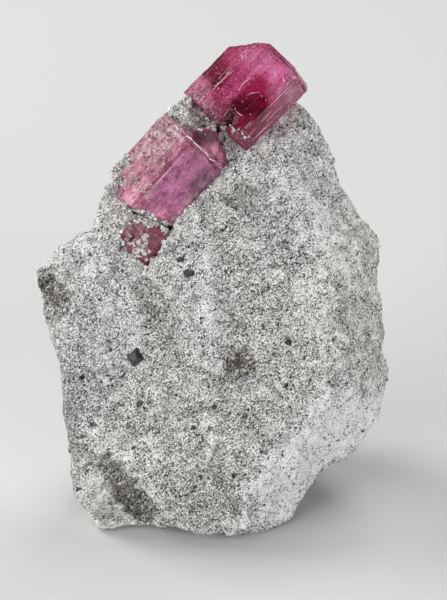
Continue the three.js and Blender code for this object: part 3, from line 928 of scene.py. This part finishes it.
# Dark minerals that stand out one by one: place and half size in photo pixels, turn and corners
darkCrystals = [
    (135, 357.5, 8.5, 9.5, 10, 4), (288.4, 342.5, 3.8, 3.8, 10, 6), (189, 273, 6, 4.6, 15, 7),
    (181, 260, 4.2, 3.6, -30, 6), (78.4, 489.5, 3.6, 2.4, -25, 6), (134, 448, 3.2, 1.8, -25, 5),
    (214, 407, 3, 3.2, 0, 5), (193.5, 427.5, 3.2, 3, 20, 5), (101, 381.5, 2, 1.6, 0, 5),
    (201, 477, 2.4, 2.2, 0, 6), (195, 487, 2.6, 1.6, -30, 5), (261.5, 452, 2.4, 1.8, 40, 5),
    (264, 505, 1.8, 1.6, 0, 5), (146, 327, 2, 1.6, 20, 5), (166, 244, 2.2, 1.8, 0, 5),
    (222, 230, 2, 1.8, 0, 5), (237, 355, 3.6, 2.2, 5, 6), (226, 272, 1.6, 4.2, -20, 5),
    (222.5, 230.8, 1.4, 1.6, 0, 5), (230, 231.7, 1.6, 1.2, 30, 5), (233.3, 235, 1.2, 2.2, 10, 5),
    (192.5, 243.3, 1.2, 2, 0, 5), (303.3, 253, 1.5, 1.2, 0, 5), (269, 287.5, 1.6, 1.8, 20, 5),
    (227.5, 288.3, 1.2, 1.8, -40, 5), (263.3, 325.8, 1.8, 1.9, 30, 5), (220.8, 323.3, 0.9, 2.2, 20, 5),
]
# Matrix in the gaps beside the crystals, each also with how far it is raised in millimetres
middleChips = [
    (171.5, 228, 3.4, 2.8, 40, 7, 0.5), (131, 208, 2.6, 1.8, 20, 6, 0.4), (137, 211.5, 3, 2, -10, 7, 0.3),
    (143, 214.5, 2.4, 1.9, 30, 6, 0.3), (149, 217, 2.8, 2, 0, 7, 0.3), (155.5, 220, 2.6, 1.7, 25, 6, 0.3),
    (162, 223, 2.8, 1.8, 15, 7, 0.3),
]
upperChips = [(218.2, 129.8, 3.4, 2.8, -30, 7, 0.65), (214.5, 126, 2.6, 2, 10, 6, 0.5)]


# Broken chips: how uneven their outline and surface are, how high and wide each ring is, and their tip
chipShape = {"uneven": 0.22, "rough": 0.12, "levels": ((0.35, 0.5), (0.15, 1.0), (-0.6, 0.9)),
             "tip": (0.45, 0.15)}


def makeChips(host, name, chips, material):
    tree = treeOf(host)
    shape = bmesh.new()
    chance = np.random.default_rng(5)
    for across, down, halfWidth, halfHeight, degrees, corners, *raised in chips:
        place, normal = seenAt(tree, (across, down))
        place = place + outWay * sum(raised) * mm
        lean = (normal + outWay).normalized()
        side = (acrossWay - lean * acrossWay.dot(lean)).normalized()
        up = lean.cross(side)
        turn = math.radians(degrees)
        width, height = halfWidth * front["photoPixel"], halfHeight * front["photoPixel"]
        ring = []
        for corner in range(corners):
            angle = math.tau * corner / corners
            spread = 1 + chipShape["uneven"] * chance.uniform(-1, 1)
            x, y = math.sin(angle) * width * spread, math.cos(angle) * height * spread
            x, y = x * math.cos(turn) + y * math.sin(turn), y * math.cos(turn) - x * math.sin(turn)
            ring.append((x, y))
        depth = min(width, height)
        rough = chipShape["rough"]
        rings = [[shape.verts.new(place + side * x * part + up * y * part + lean * depth * level
                                  + lean * depth * rough * chance.uniform(-1, 1)) for x, y in ring]
                 for level, part in chipShape["levels"]]
        for first, second in zip(rings, rings[1:]):
            joinRings(shape, first, second)
        tipUp, tipAside = chipShape["tip"]
        tip = shape.verts.new(place + lean * depth * tipUp + side * width * tipAside)
        for index in range(len(ring)):
            shape.faces.new((rings[0][index], rings[0][(index + 1) % len(ring)], tip))
        shape.faces.new(rings[-1])
    bmesh.ops.triangulate(shape, faces=shape.faces)
    piece = pieceFrom(shape, name)
    setAttribute(piece.data, "shade", chance.uniform(0.0, 0.7, len(piece.data.vertices)))
    finishPiece(piece, material)


# Crusts of matrix and mineral dust on the crystals
middleCrust = {"kind": "cube", "spacing": 0.14, "size": (0.02, 0.09), "sink": 0.06, "seed": 4,
               "clumping": 1.6}
middleCrustZones = [
    area(0.55, 4, (118, 174), (164, 115), (176, 128), (169, 150), (174, 159), (160, 175), (146, 172),
         (130, 188)),
    spot(172, 133, 9, 7, 1.2, turn=-35), spot(137, 182, 6, 8, 1), spot(147, 190, 6, 5, 0.8),
    spot(121, 180, 7, 13, 0.8, turn=-40),
]
lowerCrust = {"kind": "cube", "spacing": 0.2, "size": (0.05, 0.14), "sink": 0.02, "seed": 6}
lowerCrustZones = [
    spot(145, 241, 6, 5, 1.6, edge=2), spot(138, 251, 8, 7, 1.6, edge=2), spot(128, 240, 5, 5, 1.2),
]
# Matrix that fills the gap between the middle and lower crystals
gapGrains = {"kind": "cube", "spacing": 0.1, "size": (0.03, 0.1), "sink": -0.03, "seed": 12}
gapZones = [
    area(1.1, 2, (106, 202), (124, 205), (146, 213), (166, 224), (174, 229), (164, 230), (150, 225),
         (136, 219), (128, 222), (120, 230), (108, 230)),
    area(0.9, 2, (102, 196), (110, 172), (124, 154), (128, 158), (121, 172), (117, 188), (115, 204)),
    spot(240, 131.5, 4.5, 2, 0.6, turn=-25), spot(209, 126, 5, 3, 1.2), spot(217, 129, 4, 3, 0.9),
    spot(172, 228, 5, 4, 1.2),
]
# Small bright chips and grains on the upper crystal, coloured pale as painted glints
glints = {"kind": "cube", "spacing": 0.3, "size": (0.015, 0.045), "sink": 0.0, "seed": 14}
glintZones = [
    spot(240, 95, 60, 60, 0.15), spot(226, 86, 18, 18, 0.35),
    area(0.8, 3, (183, 93), (195, 80), (205, 90), (210, 104), (222, 120), (205, 114), (188, 98)),
    spot(240, 131, 6, 3, 1.2, turn=-20), spot(247, 54, 5, 5, 2), spot(286, 84, 10, 10, 1),
]
# Dark etch spots on the upper crystal
etchSpots = {"kind": "cube", "spacing": 0.24, "size": (0.015, 0.05), "sink": 0.02, "seed": 17,
             "clumping": 0.8}
etchZones = [
    spot(224, 88, 26, 22, 0.8, turn=45), spot(214, 108, 14, 12, 0.8), spot(256, 62, 20, 14, 0.4),
]


# The healed crack: a bumpy white band in the groove round the middle crystal
healedCrack = {"along": 3.25, "filledTo": 0.28, "width": 0.045, "step": 0.09, "wander": 0.09, "faint": 0.4,
               "brightFrom": 169, "cutBefore": 0.14, "sunk": 0.03}


def makeHealedCrack(material):
    piece = copyOfNode("middle_crystal", "slice")
    axes = crystalAxes(middle)
    along = axes.to_3x3() @ Vector((0, 0, 1))
    shape = bmesh.new()
    shape.from_mesh(piece.data)
    bpy.data.objects.remove(piece)
    cutPlace = axes @ Vector((0, 0, (healedCrack["along"] - healedCrack["cutBefore"]) * mm))
    whole = [*shape.verts, *shape.edges, *shape.faces]
    cut = bmesh.ops.bisect_plane(shape, geom=whole, plane_co=cutPlace, plane_no=along)
    corners = [item.co.copy() for item in cut["geom_cut"] if isinstance(item, bmesh.types.BMVert)]
    shape.free()
    local = [axes.inverted() @ corner for corner in corners]
    local.sort(key=lambda corner: math.atan2(corner.y, corner.x))
    places = []
    for first, second in zip(local, local[1:] + local[:1]):
        count = max(1, round((second - first).length / (healedCrack["step"] * mm)))
        places += [first.lerp(second, step / count) for step in range(count)]
    chance = np.random.default_rng(8)
    wander = np.convolve(chance.uniform(-1, 1, len(places) + 6), np.ones(7) / 7, "valid") * 2.2
    thin = np.convolve(chance.uniform(-1, 1, len(places) + 4), np.ones(5) / 5, "valid")
    swell = 0.7 + 2.2 * thin + 0.4 * chance.uniform(-1, 1, len(places))
    sizes = healedCrack["width"] * mm * np.clip(swell, 0.05, 1.4)
    world, ups = [], []
    for place, drift in zip(places, wander):
        outward = Vector((place.x, place.y, 0)).normalized()
        rise = (healedCrack["cutBefore"] + healedCrack["wander"] * drift) * mm
        world.append(axes @ (place + Vector((0, 0, rise)) - outward * healedCrack["sunk"] * mm))
        ups.append(axes.to_3x3() @ outward)
    bright = photoPlaces(np.array(world))[:, 0] > healedCrack["brightFrom"]
    sizes *= np.where(bright, 1, healedCrack["faint"])
    band = bmesh.new()
    outline = [(math.cos(math.tau * turn / 6), math.sin(math.tau * turn / 6)) for turn in range(6)]
    sweep(band, world, [along] * len(world), ups, outline, sizes, closed=True)
    piece = pieceFrom(band, "healedCrack")
    setAttribute(piece.data, "shade", np.full(len(piece.data.vertices), 0.9))
    finishPiece(piece, material)


# Growth lines, cracks and dark rims in photo pixels: the half width of each, then its way
# Pale lines on the upper crystal: growth lines, and painted highlights along its lit edges
upperLines = [
    (0.45, (210, 93.1), (220, 82.5), (230, 73.1), (235.6, 69.4)),
    (0.25, (216, 81), (226, 71), (233, 64.5)),
    (0.5, (238.8, 90), (241.3, 85), (247.5, 80), (252, 77)),
    (0.4, (246.3, 95.6), (251.3, 93.1), (260, 91.9)),
    (0.45, (235.6, 111.5), (243.8, 116.5)),
    (0.3, (236, 113), (232, 127)),
    (0.6, (273.8, 71.3), (276.3, 77)),
    (0.9, (283, 77), (284.4, 83)),
    (0.3, (290.5, 80), (285.5, 86)),
    (0.5, (250.6, 142.5), (261.3, 131.5), (272, 121)),
    (0.45, (256, 142), (268, 130)),
    (0.4, (246, 139), (256, 128)),
    (0.35, (259, 124), (266, 117), (272, 110)),
    (0.35, (266, 122), (278, 110), (286, 102)),
    (0.4, (268, 108), (280, 96), (294, 83)),
    (0.5, (289.5, 104.5), (288.5, 109), (286.5, 116.5)),
]
# Pale lines on the middle crystal; the first runs on the edge between its faces as a painted highlight
middleLines = [
    (0.7, (152.5, 188.2), (164, 175.5), (177, 161)),
    (0.5, (127, 201), (136, 193)),
    (0.3, (130, 205), (139, 196)),
    (0.4, (121, 166), (129, 155)),
]
# Dark rims along the outlines of the upper crystal and its contact with the rock: painted shade
upperRimShade = [
    (0.8, (188, 91), (197.5, 82), (208, 72), (219, 61), (230, 49.5), (234, 47.5)),
    (0.6, (236, 46), (245, 45)),
    (0.85, (266, 45.5), (271, 49), (284, 62), (297, 75), (300.5, 80)),
    (0.8, (301, 82), (304.5, 91), (301.5, 95)),
    (0.6, (250, 143), (238, 131), (226, 126), (212, 117)),
]
# Dark line in the gap between the middle and lower crystals: painted shade
lowerGapShade = [(0.7, (132, 223.5), (140, 222.5), (152, 222.5), (162, 224), (166, 228))]
rockCracks = [
    (0.3, (143, 413), (139, 420), (131, 428), (124, 436)),
    (0.6, (229, 266), (226, 274), (225, 283)),
    (0.6, (205, 347), (203, 354)),
    (0.35, (296, 262), (299, 256), (301, 250)),
]


# Thin at both ends, and a shallow roof across; the step is in pixels
lineShape = {"step": 1.2, "thinEnd": 0.15, "profile": ((-1, -0.3), (0, 0.5), (1, -0.3)), "shade": 0.7}


def makeLines(host, name, lines, material):
    tree = treeOf(host)
    shape = bmesh.new()
    for halfWidth, *along in lines:
        pixels = []
        for first, second in zip(along, along[1:]):
            count = max(2, round(math.dist(first, second) / lineShape["step"]))
            pixels += [Vector(first).lerp(Vector(second), step / count) for step in range(count)]
        pixels.append(Vector(along[-1]))
        hits = [seenAt(tree, pixel) for pixel in pixels]
        hits = [(place, normal) for place, normal in hits if place]
        places, ups = [place for place, _ in hits], [normal for _, normal in hits]
        ways = [(after - before).normalized() for before, after in
                zip([places[0], *places[:-1]], [*places[1:], places[-1]])]
        sides = [way.cross(up).normalized() for way, up in zip(ways, ups)]
        last = len(places) - 1
        widest = halfWidth * front["photoPixel"]
        thinEnd = lineShape["thinEnd"]
        sizes = [widest * (thinEnd + math.sin(math.pi * step / last)) for step in range(last + 1)]
        sweep(shape, places, sides, ups, lineShape["profile"], sizes)
    piece = pieceFrom(shape, name)
    setAttribute(piece.data, "shade", np.full(len(piece.data.vertices), lineShape["shade"]))
    finishPiece(piece, material)


# Floor, light and camera
def makeStage():
    mesh = bpy.data.meshes.new("paper")
    half = 3.0
    corners = [(-half, -half, 0), (half, -half, 0), (half, half, 0), (-half, half, 0)]
    mesh.from_pydata(corners, [], [(0, 1, 2, 3)])
    floor = newObject("paper", mesh)
    material, shader = newMaterial("whitePaper")
    setInputs(shader, {"Base Color": (0.61, 0.61, 0.602, 1), "Roughness": 0.7})
    mesh.materials.append(material)

    world = bpy.data.worlds.new("studio")
    bpy.context.scene.world = world
    world.use_nodes = True
    setInputs(world.node_tree.nodes["Background"], {"Color": (1, 1, 1, 1), "Strength": 0.05})

    for name, place, size, power in (
        ("behindLeft", (-0.53, 0.31, 0.43), 0.36, 4.1),
        ("behindRight", (0.21, 0.45, 0.63), 0.45, 2.9),
        ("above", (0, 0, 0.5), 0.5, 0.2),
        ("frontLeft", (-0.355, -0.205, 0.287), 0.35, 1.05),
        ("frontRightLow", (0.27, -0.4, 0.13), 0.35, 1.45),
        ("frontLeftLow", (-0.28, -0.4, 0.11), 0.35, 0.7),
    ):
        light = bpy.data.lights.new(name, "AREA")
        light.size = size
        light.energy = power
        lamp = newObject(name, light)
        lamp.location = place
        lamp.rotation_euler = (Vector((0, 0, 0.015)) - Vector(place)).to_track_quat("-Z", "Y").to_euler()

    camera = newObject("camera", bpy.data.cameras.new("camera"))
    camera.data.lens = front["lens"]
    camera.data.sensor_width = front["sensor"]
    camera.data.clip_start = 0.001
    camera.matrix_world = cameraPlace
    bpy.context.scene.camera = camera
    bpy.context.scene.view_settings.view_transform = "Standard"


makeStage()
print("stage made")
crystalPieces = [makeCrystal(crystal) for crystal in (upper, middle, lower)]
upperPiece, middlePiece, lowerPiece = crystalPieces
rock = makeRock(crystalPieces)
paleMineral = grainMaterial("paleMineral", (150, 148, 142), (248, 248, 250), 0.45)
darkMineral = grainMaterial("darkMineral", (16, 15, 14), (66, 63, 58), 0.35)
matrixMineral = grainMaterial("matrixMineral", (84, 80, 73), (250, 249, 245), 0.75)
dust = grainMaterial("mineralDust", (140, 84, 102), (228, 204, 202), 0.5)
whiteMineral = grainMaterial("whiteMineral", (176, 166, 164), (236, 232, 230), 0.5)
# pale lines and glints: growth lines, painted highlights and painted glints
paleLine = grainMaterial("growthLineAndPaintedGlint", (210, 130, 166), (246, 206, 224), 0.2)
print("materials made")
scatterGrains(rock, "paleGrains", "grains", paleGrains, paleMineral)
scatterGrains(rock, "darkGrains", "grains", darkGrains, darkMineral)
scatterGrains(rock, "contactGrains", "contact", contactGrains, paleMineral)
glossyDark = grainMaterial("glossyDarkMineral", (8, 8, 8), (74, 72, 70), 0.3)
makeChips(rock, "darkCrystals", darkCrystals, glossyDark)
makeChips(middlePiece, "middleChips", middleChips, matrixMineral)
makeChips(rock, "upperChips", upperChips, matrixMineral)
paintAmount(middlePiece.data, "crust", middleCrustZones)
scatterGrains(middlePiece, "middleCrust", "crust", middleCrust, dust)
paintAmount(lowerPiece.data, "crust", lowerCrustZones)
scatterGrains(lowerPiece, "lowerCrust", "crust", lowerCrust, whiteMineral)
for host, name in ((middlePiece, "gapGrainsAbove"), (lowerPiece, "gapGrainsBelow"),
                   (upperPiece, "gapGrainsTop"), (rock, "gapGrainsRound")):
    paintAmount(host.data, "gap", gapZones)
    scatterGrains(host, name, "gap", gapGrains, matrixMineral)
paintAmount(upperPiece.data, "glints", glintZones)
scatterGrains(upperPiece, "upperGlints", "glints", glints, paleLine)
makeHealedCrack(whiteMineral)
darkLine = grainMaterial("darkRim", (58, 10, 28), (88, 30, 48), 0.4)
paintAmount(upperPiece.data, "etched", etchZones)
scatterGrains(upperPiece, "upperEtchSpots", "etched", etchSpots, darkLine)
makeLines(upperPiece, "upperLines", upperLines, paleLine)
makeLines(upperPiece, "upperRimShade", upperRimShade, darkLine)
makeLines(middlePiece, "middleLines", middleLines, paleLine)
makeLines(lowerPiece, "lowerGapShade", lowerGapShade, darkLine)
makeLines(rock, "rockCracks", rockCracks, darkMineral)
